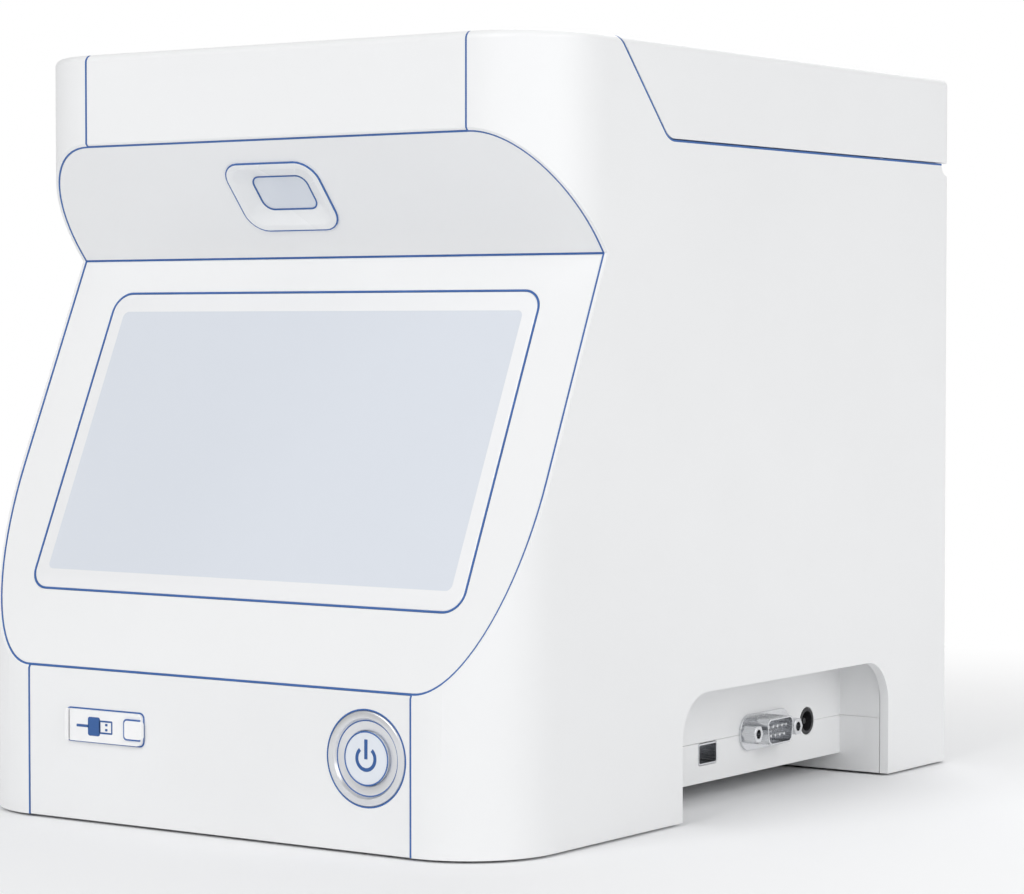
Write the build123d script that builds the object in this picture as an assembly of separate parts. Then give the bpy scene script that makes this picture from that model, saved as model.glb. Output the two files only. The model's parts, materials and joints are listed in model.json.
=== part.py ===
from build123d import *
import os
from math import atan2, cos, hypot, sin

# A bench-top real-time PCR machine with a sloping touch screen and a rear-hinged lid.
# Millimetres. X runs to the right as seen from the front, Y to the rear, Z up.
# The origin is under the middle of the machine, on the surface that it stands on.

os.makedirs("parts", exist_ok=True)

# Overall size
width = 200.0
depth = 270.0
height = 231.0

# Front outline seen from the side: how far back, how far up, and how far down from the top
setback = 26.5
crease_depth = 56.0
knee_height = 45.0
brow_drop = 27.2
brow_rise = 35.1

# Covers
corner_radius = 28.0
rear_radius = 4.0
top_radius = 2.5
inner_radius = 0.8
wall = 3.0
fascia_wall = 2.5
seam = 0.6
seal_depth = 2.4
front_lip = 1.0
skirt_gap = 0.8
rear_panel_inset = 10.0
panel_gap = 0.4

# Lid
lid_top_depth = 62.6
lid_knee_depth = 89.0
lid_height = 28.5
lid_knee_radius = 7.0
lid_wall = 2.6
lid_clearance = 0.3
liner_wall = 2.0
liner_screw_inset = 19.0
grip_width = 60.0
grip_radius = 18.0
grip_drop = 1.8

# Lid hinge
hinge_inset = 25.0
knuckles = 5
knuckle_radius = 2.6
hinge_pin_radius = 1.2
running_gap = 0.05
leaf_wall = 1.2
leaf_height = 15.0
hinge_rise = 0.1
hinge_clear = 1.7

# Screen on the slope
glass_side_border = 19.3
glass_low_border = 26.0
glass_high_border = 11.8
glass_wall = 1.8
glass_radius = 6.0
display_side_border = 4.7
display_end_border = 6.0
lcd_wall = 6.0
lcd_border = 1.2
lcd_radius = 1.0
seal_lip = 2.4
bracket_wall = 1.5
bracket_border = 7.0

# Code scanner on the brow
scanner_x = -6.4
scanner_drop = 22.4
scanner_width = 34.4
scanner_height = 24.8
scanner_radius = 6.5
scanner_rim = 1.6
scanner_proud = 0.5
window_width = 20.5
window_height = 12.4
window_radius = 3.5
window_sink = 2.0
window_wall = 1.2
window_ledge = 1.5
engine_depth = 12.0

# Power button
button_from_right = 43.7
button_height = 27.3
button_ring_radius = 13.5
button_dish_radius = 11.15
button_barrel_radius = 10.8
button_radius = 7.65
button_gap = 0.2
button_ring_wall = 1.6
button_ring_proud = 0.4
button_dish = 1.0
button_cap_wall = 6.0
button_barrel = 12.0
button_stem_radius = 3.0
button_edge_radius = 0.6
button_spring_radius = 6.15
button_spring_wall = 1.0
button_travel = 1.5
switch_length = 12.0
nut_radius = 13.8
nut_wall = 3.5

# Front data port and its hinged cover
cover_from_left = 44.0
cover_width = 30.0
cover_base = 24.6
cover_height = 9.4
cover_proud = 1.5
cover_radius = 1.6
anchor_width = 1.4
cover_gap = 0.45
tab_width = 6.6
tab_height = 5.4
tab_overhang = 0.8
tab_proud = 2.0
tab_radius = 1.0
port_width = 14.5
port_height = 7.0
port_wall = 0.5
port_length = 16.0
port_back = 3.2
port_sink = 2.0
tongue_width = 10.2
tongue_wall = 1.6
tongue_rise = 0.6
port_from_left = 15.0
port_clearance = 0.3
plug_inset = 0.6
plug_depth = 1.4

# Base tray and feet
tray_gap = 0.3
tray_wall = 2.0
floor_height = 6.5
floor_wall = 1.5
tray_height = 19.0
foot_radius = 8.0
foot_chamfer = 1.1
foot_inset = 26.0
front_foot_depth = 38.0
rear_foot_inset = 24.0

# Connector recess in the right side
recess_front_depth = 97.0
recess_rear_depth = 225.0
recess_height = 38.5
recess_radius = 14.0
recess_sink = 18.1
pocket_wall = 2.0
pocket_margin = 2.0
pocket_headroom = 1.5

# Connectors, by their depth from the front and their height
side_port_depth = 140.9
side_port_height = 15.35
side_port_width = 11.0
side_port_rise = 6.7
side_port_corner = 1.0
side_port_socket = 9.8
serial_depth = 175.1
serial_height = 19.4
serial_width = 16.9
serial_rise = 8.3
serial_lean = 1.4
serial_corner = 2.0
serial_body_corner = 1.0
serial_flange_width = 31.0
serial_flange_height = 11.4
serial_flange_radius = 5.5
serial_flange_wall = 0.8
serial_proud = 5.5
pin_radius = 0.5
pin_length = 5.2
pin_pitch = 2.75
pin_row_pitch = 2.84
jackscrew_pitch = 25.0
jackscrew_flats = 5.0
jackscrew_bore = 1.4
jackscrew_floor = 1.0
jackscrew_length = 4.8
power_jack_depth = 203.0
power_jack_height = 19.2
power_jack_radius = 4.3
power_jack_bore = 3.2
power_jack_socket = 9.8
power_pin_radius = 1.0
power_pin_sink = 1.0
connector_length = 14.0
connector_clearance = 0.2

# Inner frame and boards
chassis_wall = 2.0
chassis_flange = 12.0
chassis_rear_gap = 17.0
deck_wall = 2.5
board_wall = 1.6
board_gap = 2.4
board_border = 6.0
post_radius = 3.0

# Sample well, thermal stack and air path
well_y = 25.0
well_radius = 5.5
well_depth = 22.0
well_tip_radius = 2.0
well_tip_depth = 5.0
block_size = 34.0
block_height = 30.0
block_recess = 4.0
collar_wall = 4.0
collar_flange = 3.0
collar_rise = 1.2
collar_height = 12.0
peltier_size = 40.0
peltier_wall = 4.0
sink_length = 90.0
sink_base = 6.0
fin_height = 28.0
fin_wall = 2.0
fin_count = 13
fin_pitch = 8.0
fan_size = 60.0
fan_depth = 15.0
fan_bore = 28.0
fan_hub_radius = 11.0
fan_hub_inset = 1.0
fan_shaft_radius = 1.2
fan_blades = 7
fan_tip_gap = 0.8
blade_wall = 1.2
blade_chord = 9.0
blade_lean = 35.0
strut_wall = 2.0
strut_width = 2.4
duct_wall = 1.5

# Sprung plate in the lid that presses the tube down
plate_radius = 16.0
plate_wall = 4.0
plate_chamfer = 1.0
plate_travel = 2.4
plate_stop_gap = 0.2
tube_cap = 8.0
guide_radius = 1.5
guide_x = 11.0
guide_y = 6.6
cup_radius = 4.5
cup_height = 9.0
cup_wall = 1.2
guide_head_radius = 2.8
guide_head = 1.3
spring_radius = 2.9
spring_wall = 0.6

# Optics beside the block
optics_width = 44.0
optics_length = 30.0
optics_height = 26.0
lens_radius = 4.0
lens_rim = 1.0
lens_length = 6.0
lens_pitch = 17.6

# Larger components on the main board: x, y, size and height
board_components = [(-30, 20, 24, 3), (10, 40, 16, 2), (-45, 55, 14, 8), (20, -5, 18, 3)]

# Screws, catches and vents
screw_radius = 1.25
head_radius = 2.9
head_wall = 1.6
head_sink = 0.2
screw_length = 8.0
boss_size = 9.0
magnet_radius = 4.0
catch_inset = 44.0
vent_width = 3.0
vent_pitch = 6.5
vent_count = 9
vent_length = 50.0
inlet_count = 18
inlet_length = 25.0

# A length that reaches past every part of the machine
beyond = 60.0

# Places that follow from the sizes above
left, right = -width / 2, width / 2
rear = depth / 2
front = -depth / 2 + tab_proud
brow_front = front + setback
brow_height = height - brow_drop
crease_height = brow_height - brow_rise
lid_line = height - lid_height
knee = (front, knee_height)
crease = (front + crease_depth, crease_height)
brow_top = (brow_front, brow_height)
seam_x = width / 2 - corner_radius
rear_panel_width = width - 2 * rear_panel_inset
slope_length = hypot(crease_depth, crease_height - knee_height)
glass_width = width - 2 * glass_side_border
glass_height = slope_length - glass_low_border - glass_high_border
screen_centre = glass_low_border + glass_height / 2
screen_width = glass_width - 2 * display_side_border
screen_height = glass_height - 2 * display_end_border
button_x = right - button_from_right
cover_left = left + cover_from_left
catch_x = right - catch_inset
hinge_length = width - 2 * hinge_inset
lid_top = (front + lid_top_depth, height)
lid_knee = (front + lid_knee_depth, lid_line)
hinge_y = rear - knuckle_radius
hinge_z = lid_line + hinge_rise
hinge_relief = knuckle_radius + hinge_clear
deck_top = lid_line - seam
deck_under = deck_top - deck_wall
floor_top = floor_height + floor_wall
board_z = floor_top + board_gap
tray_inset = wall + tray_gap
recess_x = right - recess_sink
recess_y = (front + recess_front_depth, front + recess_rear_depth)
pocket_y = (recess_y[0] - pocket_margin, recess_y[1])
chassis_x = recess_x - pocket_wall
block_top = deck_top - block_recess
block_under = block_top - block_height
sink_top = block_under - peltier_wall
fin_top = sink_top - sink_base
fan_z = fin_top - fin_height / 2
fan_y = rear - wall - fan_depth
plate_under = block_top + tube_cap
liner_under = plate_under + plate_wall + plate_travel + plate_stop_gap
liner_depth = liner_under - lid_line
ALL_X = (left - beyond, right + beyond)
ALL_Y = (front - beyond, rear + beyond)
ALL_Z = (-beyond, height + beyond)
X, Y, Z = (1, 0, 0), (0, 1, 0), (0, 0, 1)


def save(name, part):
    """Writes one sub-part to its own file."""
    part.label = name
    export_step(part, f"parts/{name}.step")


def both(half):
    return (-half, half)


def around(centre, size):
    return (centre - size / 2, centre + size / 2)


def block(x, y, z):
    """A box between a low and a high value on each axis."""
    size = Box(x[1] - x[0], y[1] - y[0], z[1] - z[0])
    return Pos(sum(x) / 2, sum(y) / 2, sum(z) / 2) * size


def rod(start, direction, length, radius):
    """A round bar from a starting point."""
    return extrude(Plane(start, z_dir=direction) * Circle(radius), amount=length)


def slab(plane, w, h, radius, depths):
    """A plate with rounded corners on a plane, between two depths behind it."""
    outline = plane.offset(-depths[1]) * RectangleRounded(w, h, radius)
    return extrude(outline, amount=depths[1] - depths[0])


def side_prism(face, x):
    """A face drawn in (y, z), carried from one x to another."""
    return extrude(Plane.YZ.offset(x[0]) * face, amount=x[1] - x[0])


def moved(start, end, offset):
    """A line in (y, z) moved sideways, to its right as it is followed."""
    run, rise = end[0] - start[0], end[1] - start[1]
    across = (offset * rise / hypot(run, rise), -offset * run / hypot(run, rise))
    return [(p[0] + across[0], p[1] + across[1]) for p in (start, end)]


def at_height(line, z):
    """The point of a line in (y, z) at a height."""
    (y0, z0), (y1, z1) = line
    return (y0 + (y1 - y0) * (z - z0) / (z1 - z0), z)


def meeting(first, second):
    """The height at which two lines in (y, z) meet, as a point."""
    lean_a = (first[1][0] - first[0][0]) / (first[1][1] - first[0][1])
    lean_b = (second[1][0] - second[0][0]) / (second[1][1] - second[0][1])
    base_a = at_height(first, 0)[0]
    base_b = at_height(second, 0)[0]
    return at_height(first, (base_b - base_a) / (lean_a - lean_b))


def behind_profile(offset):
    """The space behind the screen slope and the brow, both moved back."""
    slope = moved(knee, crease, offset)
    brow = moved(crease, brow_top, offset)
    points = [
        at_height(slope, -beyond),
        meeting(slope, brow),
        at_height(brow, height + beyond),
        (rear + beyond, height + beyond),
        (rear + beyond, -beyond),
    ]
    return side_prism(make_face(Polyline(*points, close=True)), ALL_X)


def plan_prism(y_front, inset, z):
    """An upright prism with the plan of the covers, its sides moved inwards."""
    y = (y_front + inset, rear - inset)
    face = Pos(0, sum(y) / 2) * Rectangle(width - 2 * inset, y[1] - y[0])
    face = fillet(face.vertices().group_by(Axis.Y)[0], corner_radius - inset)
    face = fillet(face.vertices().group_by(Axis.Y)[-1], max(rear_radius - inset, inner_radius))
    return Pos(0, 0, z[0]) * extrude(face, amount=z[1] - z[0])


def cavity(inset):
    """The space inside walls of one thickness, open at the bottom and through the front."""
    lower = plan_prism(front, inset, (-beyond, crease_height))
    upper = plan_prism(brow_front, inset, (crease_height, height - inset))
    return lower + upper


def make_outer():
    """The whole outside form, before it is divided into covers."""
    lower = plan_prism(front, 0, (skirt_gap, crease_height))
    upper = plan_prism(brow_front, 0, (crease_height, height))
    form = (lower + upper) & behind_profile(0)
    return fillet(form.edges().group_by(Axis.Z)[-1], top_radius)


def front_plate(plane, lean, y_front, inset, depth_in):
    """A plate behind a leaning plane, with the outline that the plane cuts from the covers' plan."""
    form = plan_prism(y_front - inset * (1 - sin(lean)), inset, (0, height))
    return extrude(section(form, section_by=plane), amount=depth_in, dir=-plane.z_dir)


def front_layer(inset, depth_in):
    """The plates behind the screen slope and behind the brow, which meet at the crease."""
    slope = front_plate(screen_plane, slope_angle, front, inset, depth_in)
    brow = front_plate(brow_plane, brow_angle, brow_front, inset, depth_in)
    slope &= block(ALL_X, ALL_Y, (-beyond, crease_height))
    return slope + (brow & block(ALL_X, ALL_Y, (crease_height, height + beyond)))


def lid_space(margin):
    """The space above the lid's parting line, made larger by a margin."""
    slant = moved(lid_knee, lid_top, -margin)
    corner = at_height(slant, lid_line - margin)
    points = [
        at_height(slant, height + beyond),
        corner,
        (rear + beyond, corner[1]),
        (rear + beyond, height + beyond),
    ]
    face = make_face(Polyline(*points, close=True))
    vertex = face.vertices().sort_by_distance((corner[0], corner[1], 0))[0]
    return side_prism(fillet(vertex, max(lid_knee_radius + margin, inner_radius)), ALL_X)


def hinge_rod(radius):
    """A round bar on the lid's hinge axis, right across the machine."""
    return rod((left - beyond, hinge_y, hinge_z), X, width + 2 * beyond, radius)


def pocket_space(grow, z):
    """The space of the connector recess, made larger on its closed sides."""
    x = (recess_x - grow, right + beyond)
    return block(x, (pocket_y[0] - grow, pocket_y[1] + grow), z)


def screw(start, direction, length):
    """A pan-head screw, from the top of its head."""
    head = rod(start, direction, head_wall, head_radius)
    return head + rod(start, direction, length, screw_radius)


slope_angle = atan2(crease_depth, crease_height - knee_height)
screen_plane = Plane(
    (0, front + screen_centre * sin(slope_angle), knee_height + screen_centre * cos(slope_angle)),
    x_dir=X,
    z_dir=(0, -cos(slope_angle), sin(slope_angle)),
)
brow_angle = atan2(crease_depth - setback, brow_height - crease_height)
brow_plane = Plane(
    (
        scanner_x,
        brow_front + scanner_drop * sin(brow_angle),
        brow_height - scanner_drop * cos(brow_angle),
    ),
    x_dir=X,
    z_dir=(0, -cos(brow_angle), -sin(brow_angle)),
)

outer = make_outer()
wall_cavity = cavity(wall)
lid_cavity = cavity(lid_wall)
seal_cavity = cavity(seal_depth)
fascia = front_layer(front_lip + seam, fascia_wall)
fascia_and_seal = front_layer(front_lip, fascia_wall + seam)
lid_and_seal = lid_space(seam)
covers = outer - wall_cavity - fascia_and_seal - lid_and_seal - hinge_rod(hinge_relief)


# The covers
rear_screw_x = rear_panel_width / 2 - boss_size / 2 - panel_gap
rear_screw_z = [tray_height + boss_size, height / 2, deck_under - leaf_height - boss_size]


def left_side_shell():
    """The left cover, which wraps both corners and carries the rear panel's bosses."""
    shell = covers & block((left - beyond, -seam_x), ALL_Y, ALL_Z)
    opening = both(rear_panel_width / 2 + panel_gap)
    shell -= block(opening, (rear - wall - inner_radius, rear + beyond), ALL_Z)
    for z in rear_screw_z:
        reach = (left + wall, boss_size / 2 - rear_screw_x)
        boss = block(reach, (rear - wall - boss_size, rear - wall), around(z, boss_size))
        shell += boss - rod((-rear_screw_x, rear, z), (0, -1, 0), screw_length, screw_radius)
    return shell


def right_side_shell():
    """The left cover's mirror image, with the opening of the connector recess."""
    face = make_face(
        Polyline(
            (recess_y[0], -beyond),
            (recess_y[0], recess_height),
            (recess_y[1], recess_height),
            (recess_y[1], -beyond),
            close=True,
        )
    )
    face = fillet(face.vertices().group_by(Axis.Y)[-1], recess_radius)
    return mirror(left_side_shell(), about=Plane.YZ) - side_prism(face, (recess_x, right + beyond))


def forehead_panel():
    """The cover above the brow, with a finger scoop in front of the lid."""
    middle = block(both(seam_x - seam), (front, 0), (crease_height, height + beyond))
    scoop_z = height + grip_radius - grip_drop
    scoop = rod((-grip_width / 2, lid_top[0], scoop_z), X, grip_width, grip_radius)
    return (covers & middle) - scoop


def lower_front_panel():
    """The cover below the screen, with holes for the power button and the data port."""
    panel = covers & block(both(seam_x - seam), (front - beyond, 0), (0, knee_height + wall))
    button = (button_x, front, button_height)
    panel -= rod(button, Y, wall + beyond, button_barrel_radius + button_gap)
    ring_seat = button_ring_wall - button_ring_proud
    panel -= rod(button, Y, ring_seat, button_ring_radius + button_gap)
    for edge in (-1, 1):
        x = around(port_x + edge * (port_width / 2 + post_radius), post_radius)
        z = (port_z - port_height / 2 - board_wall - post_radius, port_z - port_height / 2 - board_wall)
        panel += block(x, (front + wall, front + wall + port_length / 2), z)
    return panel - port_opening(port_clearance, (front - beyond, front + wall + beyond))


def rear_panel():
    """The rear cover, with the fan's outlet slots above and inlet slots below."""
    panel = block(both(rear_panel_width / 2), (rear - wall, rear), (skirt_gap, lid_line))
    panel -= hinge_rod(hinge_relief)
    for i in range(vent_count):
        x = (i - (vent_count - 1) / 2) * vent_pitch
        chord = 2 * (max((fan_bore + vent_width) ** 2 - x * x, vent_pitch**2)) ** 0.5
        length = min(vent_length, chord)
        panel -= vent_slot(x, fan_z, length)
    for i in range(inlet_count):
        x = (i - (inlet_count - 1) / 2) * vent_pitch
        panel -= vent_slot(x, inlet_z, inlet_length)
    for side in (-1, 1):
        for z in rear_screw_z:
            head = rod((side * rear_screw_x, rear, z), (0, -1, 0), head_wall + head_sink, head_radius)
            panel -= head + rod((side * rear_screw_x, rear, z), (0, -1, 0), beyond, screw_radius)
    return panel


def vent_slot(x, z, length):
    """An upright slot with round ends, right through the rear panel."""
    slot = Plane((x, rear, z), x_dir=Z, z_dir=(0, -1, 0)) * SlotOverall(length, vent_width)
    return extrude(slot, amount=2 * wall)


port_x = cover_left + port_from_left
port_z = cover_base + cover_height / 2
inlet_z = tray_height + vent_length


def port_opening(margin, y):
    """The opening round the data port in the lower front."""
    x = around(port_x, port_width + 2 * margin)
    return block(x, y, around(port_z, port_height + 2 * margin))


def screen_fascia():
    """The sloping front, open for the touch glass and its seal."""
    below = block(ALL_X, ALL_Y, (-beyond, crease_height - seam / 2))
    opening = slab(
        screen_plane,
        glass_width + 2 * seam,
        glass_height + 2 * seam,
        glass_radius + seam,
        (-beyond, beyond / 2),
    )
    return (fascia & below) - opening


def brow_panel():
    """The overhanging brow, open for the scanner's bezel."""
    above = block(ALL_X, ALL_Y, (crease_height + seam / 2, height + beyond))
    opening = slab(brow_plane, scanner_width, scanner_height, scanner_radius, (-beyond / 2, beyond / 2))
    return (fascia & above) - opening


def fascia_seal():
    """The soft strip round the fascia and the brow, and between them."""
    ring = front_layer(front_lip, fascia_wall) - fascia
    strip = fascia & block(ALL_X, ALL_Y, around(crease_height, seam))
    return ring + strip


def panel_seals():
    """Soft strips between the side covers and the panels in the front."""
    skin = outer - seal_cavity - fascia_and_seal - lid_and_seal
    strips = []
    for side in (-1, 1):
        x = sorted((side * (seam_x - seam), side * seam_x))
        strips += (skin & block(x, (front - beyond, 0), ALL_Z)).solids()
    return Compound(children=strips)


def lid_seal():
    """The soft strip that the lid closes on."""
    ring = ((lid_and_seal - lid_space(0)) & outer) - seal_cavity
    return ring & block(ALL_X, (front, hinge_y - hinge_relief), ALL_Z)


# The lid and its hinge
def lid_shell():
    """The lid, a moulded shell with bosses for its liner and a slot for the hinge."""
    shell = (outer & lid_space(-lid_clearance)) - lid_cavity
    slot = around(hinge_z, 2 * (knuckle_radius + lid_clearance))
    shell -= block(both(hinge_length / 2 + lid_clearance), (rear - 2 * lid_wall, rear + beyond), slot)
    for x, y in liner_screw_places:
        top = height - lid_wall / 2
        boss = rod((x, y, liner_under + liner_wall), Z, top - liner_under - liner_wall, boss_size / 2)
        shell += boss - rod((x, y, liner_under), Z, screw_length, screw_radius)
    return shell


liner_screw_places = [
    (side * (width / 2 - liner_screw_inset), y)
    for side in (-1, 1)
    for y in (lid_knee[0] + 2 * boss_size, rear - 2 * boss_size)
]
guide_places = [(side * guide_x, well_y + along * guide_y) for side in (-1, 1) for along in (-1, 1)]
cup_top = liner_under + cup_height


def lid_liner():
    """The inner face of the lid, with four cups for the plate's springs."""
    margin = -liner_depth
    liner = lid_cavity & (lid_space(margin) - lid_space(margin - liner_wall))
    for x, y in guide_places:
        liner += rod((x, y, liner_under), Z, cup_height, cup_radius)
    for x, y in guide_places:
        liner -= rod((x, y, liner_under - beyond), Z, beyond + cup_height - cup_wall, cup_radius - cup_wall)
        liner -= rod((x, y, liner_under), Z, beyond, guide_radius + running_gap)
    for x, y in liner_screw_places:
        liner -= rod((x, y, liner_under - beyond), Z, 2 * beyond, screw_radius)
    return liner


def liner_screws():
    screws = [screw((x, y, liner_under - head_wall), Z, screw_length) for x, y in liner_screw_places]
    return Compound(children=screws)


def press_plate():
    """The round plate that bears on the tube's cap."""
    plate = rod((0, well_y, plate_under), Z, plate_wall, plate_radius)
    plate = chamfer(plate.edges().group_by(Axis.Z)[0], plate_chamfer)
    for x, y in guide_places:
        plate -= rod((x, y, plate_under + plate_wall / 2), Z, plate_wall, guide_radius)
    return plate


def guide_pins():
    """Shoulder pins that hang the plate from the liner's cups."""
    pins = []
    for x, y in guide_places:
        start = plate_under + plate_wall / 2
        shank = rod((x, y, start), Z, cup_top + running_gap - start, guide_radius)
        pins.append(shank + rod((x, y, cup_top + running_gap), Z, guide_head, guide_head_radius))
    return Compound(children=pins)


def plate_springs():
    """Tubes of the springs' outer size, round the guide pins."""
    springs = []
    for x, y in guide_places:
        start = plate_under + plate_wall
        length = cup_top - cup_wall - start
        springs.append(rod((x, y, start), Z, length, spring_radius))
        springs[-1] -= rod((x, y, start), Z, length, spring_radius - spring_wall)
    return Compound(children=springs)


knuckle_pitch = hinge_length / knuckles


def hinge_leaf(is_fixed):
    """One leaf of the lid hinge with its knuckles, which take turns along the pin."""
    if is_fixed:
        y, z = (rear - wall - leaf_wall, rear - wall), (hinge_z - leaf_height, hinge_z)
    else:
        y, z = (rear - lid_wall - leaf_wall, rear - lid_wall), (hinge_z, liner_under - lid_clearance)
    leaf = block(both(hinge_length / 2), y, z)
    for i in range(knuckles):
        own = (i % 2 == 0) == is_fixed
        start = (i * knuckle_pitch - hinge_length / 2, hinge_y, hinge_z)
        if own:
            inset = (start[0] + running_gap, hinge_y, hinge_z)
            leaf += rod(inset, X, knuckle_pitch - 2 * running_gap, knuckle_radius)
        else:
            leaf -= rod(start, X, knuckle_pitch, knuckle_radius + lid_clearance)
    return leaf - hinge_rod(hinge_pin_radius + running_gap)


def hinge_pin():
    return rod((-hinge_length / 2, hinge_y, hinge_z), X, hinge_length, hinge_pin_radius)


# The deck under the lid
deck_rear = rear - wall - leaf_wall - lid_clearance


def top_deck():
    """The moulded deck under the lid, sloping up to meet the forehead."""
    deck = wall_cavity & (lid_space(seam + deck_wall) - lid_and_seal)
    deck -= block(ALL_X, (deck_rear, rear + beyond), ALL_Z)
    deck -= hinge_rod(hinge_relief)
    opening = block_size + 2 * collar_wall
    deck -= block(both(opening / 2), around(well_y, opening), ALL_Z)
    for x, y in deck_screw_places:
        deck -= rod((x, y, deck_under - beyond), Z, 2 * beyond, screw_radius)
    for side in (-1, 1):
        deck -= rod((side * catch_x, catch_y, deck_under), Z, beyond, magnet_radius)
    return deck


catch_y = lid_knee[0] + 2 * magnet_radius + lid_knee_radius
chassis_y = (lid_knee[0] + lid_knee_radius, rear - chassis_rear_gap)
deck_screw_places = [
    (side * (chassis_x - chassis_wall - chassis_flange / 2), y)
    for side in (-1, 1)
    for y in (chassis_y[0] + chassis_flange, chassis_y[1] - chassis_flange)
]


def deck_screws():
    screws = [screw((x, y, deck_top + head_wall), (0, 0, -1), screw_length) for x, y in deck_screw_places]
    return Compound(children=screws)


def catch_magnets():
    """Magnets set in the deck, which hold the lid shut."""
    magnets = [rod((s * catch_x, catch_y, deck_under), Z, deck_wall, magnet_radius) for s in (-1, 1)]
    return Compound(children=magnets)


def catch_pins():
    """Steel pins on the liner that the magnets pull."""
    start = deck_top + lid_clearance + seam
    pins = [
        rod((s * catch_x, catch_y, start), Z, liner_under - start, magnet_radius) for s in (-1, 1)
    ]
    return Compound(children=pins)


# The inner frame
def chassis_plate(side):
    """A bent steel plate that carries the deck and the heat sink, with a flange along its top."""
    x = sorted((side * chassis_x, side * (chassis_x - chassis_wall)))
    plate = block(x, chassis_y, (floor_top, deck_under))
    flange_x = sorted((side * chassis_x, side * (chassis_x - chassis_wall - chassis_flange)))
    plate += block(flange_x, chassis_y, (deck_under - chassis_wall, deck_under))
    window_z = (tray_height + 2 * boss_size, fin_top - fin_height)
    window_y = (chassis_y[0] + chassis_flange, chassis_y[1] - chassis_flange)
    plate -= block(x, window_y, window_z)
    if side > 0:
        connector_y = (recess_y[0] + pocket_margin, chassis_y[1] - chassis_flange)
        plate -= block(x, connector_y, (0, window_z[0] - boss_size))
    for place_x, y in deck_screw_places:
        plate -= rod((place_x, y, deck_under - beyond), Z, 2 * beyond, screw_radius)
    return plate


def heat_sink():
    """A finned heat sink that spans the frame."""
    span = both(chassis_x - chassis_wall)
    y = around(well_y, sink_length)
    sink = block(span, y, (fin_top, sink_top))
    for i in range(fin_count):
        x = around((i - (fin_count - 1) / 2) * fin_pitch, fin_wall)
        sink += block(x, y, (fin_top - fin_height, fin_top))
    return sink


def well_block():
    """The metal block that holds and heats the reaction tube."""
    body = block(both(block_size / 2), around(well_y, block_size), (block_under, block_top))
    body -= rod((0, well_y, block_top - well_depth), Z, well_depth, well_radius)
    tip = Cone(well_tip_radius, well_radius, well_tip_depth)
    return body - Pos(0, well_y, block_top - well_depth - well_tip_depth / 2) * tip


def block_collar():
    """The insulating collar between the block and the deck."""
    size = block_size + 2 * collar_wall
    collar = block(both(size / 2), around(well_y, size), (deck_top - collar_height, deck_top + collar_rise))
    lip = size + 2 * collar_flange
    collar += block(both(lip / 2), around(well_y, lip), (deck_top, deck_top + collar_rise))
    return collar - block(both(block_size / 2), around(well_y, block_size), ALL_Z)


def peltier():
    return block(both(peltier_size / 2), around(well_y, peltier_size), (sink_top, block_under))


optics_y = well_y - block_size / 2 - collar_wall - lens_length


def optics_module():
    """The light source and detector housing, under the deck and in front of the block."""
    y = (optics_y - optics_length, optics_y)
    housing = block(both(optics_width / 2), y, (deck_under - optics_height, deck_under))
    for side in (-1, 1):
        x = side * lens_pitch / 2
        housing += rod((x, optics_y, lens_z), Y, lens_length / 2, lens_radius + lens_rim)
        housing -= rod((x, optics_y - lens_length / 2, lens_z), Y, beyond, lens_radius)
    return housing


lens_z = (deck_top - collar_height + deck_under - optics_height) / 2


def optics_lenses():
    lenses = []
    for side in (-1, 1):
        start = (side * lens_pitch / 2, optics_y - lens_length / 2, lens_z)
        lenses.append(rod(start, Y, lens_length, lens_radius))
    return Compound(children=lenses)


def air_duct():
    """The duct from the fins to the fan."""
    y = (well_y + sink_length / 2, fan_y)
    fins_wide = (fin_count - 1) * fin_pitch + fin_wall
    mouth = Plane((0, y[0], fan_z), x_dir=X, z_dir=Y)
    throat = Plane((0, y[1], fan_z), x_dir=X, z_dir=Y)

    def funnel(grow):
        wide = mouth * Rectangle(fins_wide + 2 * grow, fin_height + 2 * grow)
        square = fan_size - 2 * duct_wall + 2 * grow
        return loft([wide, throat * Rectangle(square, square)])

    return funnel(duct_wall) - funnel(0)


def fan_housing():
    """The fan's square frame, with a motor cup on four struts at its rear."""
    frame = block(both(fan_size / 2), (fan_y, fan_y + fan_depth), around(fan_z, fan_size))
    frame -= rod((0, fan_y, fan_z), Y, fan_depth, fan_bore)
    cup_y = fan_y + fan_depth - strut_wall
    frame += rod((0, cup_y, fan_z), Y, strut_wall, fan_hub_radius)
    for angle in (45, 135, 225, 315):
        reach = (fan_hub_radius / 2, fan_bore + strut_wall / 2)
        strut = block(reach, (cup_y, cup_y + strut_wall), both(strut_width / 2))
        frame += Pos(0, 0, fan_z) * Rot(0, angle, 0) * strut
    return frame - rod((0, fan_y, fan_z), Y, fan_depth, fan_shaft_radius + running_gap)


def fan_rotor():
    """The fan's hub, blades and shaft."""
    hub_y = (fan_y + fan_hub_inset, fan_y + fan_depth - strut_wall - fan_hub_inset)
    rotor = rod((0, hub_y[0], fan_z), Y, hub_y[1] - hub_y[0], fan_hub_radius)
    tip = fan_bore - fan_tip_gap
    root = fan_hub_radius - blade_wall
    for i in range(fan_blades):
        blade = Rot(blade_lean, 0, 0) * Box(tip - root, blade_wall, blade_chord)
        blade = Pos((tip + root) / 2, sum(hub_y) / 2, 0) * blade
        rotor += Pos(0, 0, fan_z) * Rot(0, 360 * i / fan_blades, 0) * blade
    rotor &= rod((0, fan_y, fan_z), Y, fan_depth, tip)
    return rotor + rod((0, hub_y[0], fan_z), Y, fan_y + fan_depth - hub_y[0], fan_shaft_radius)


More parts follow.
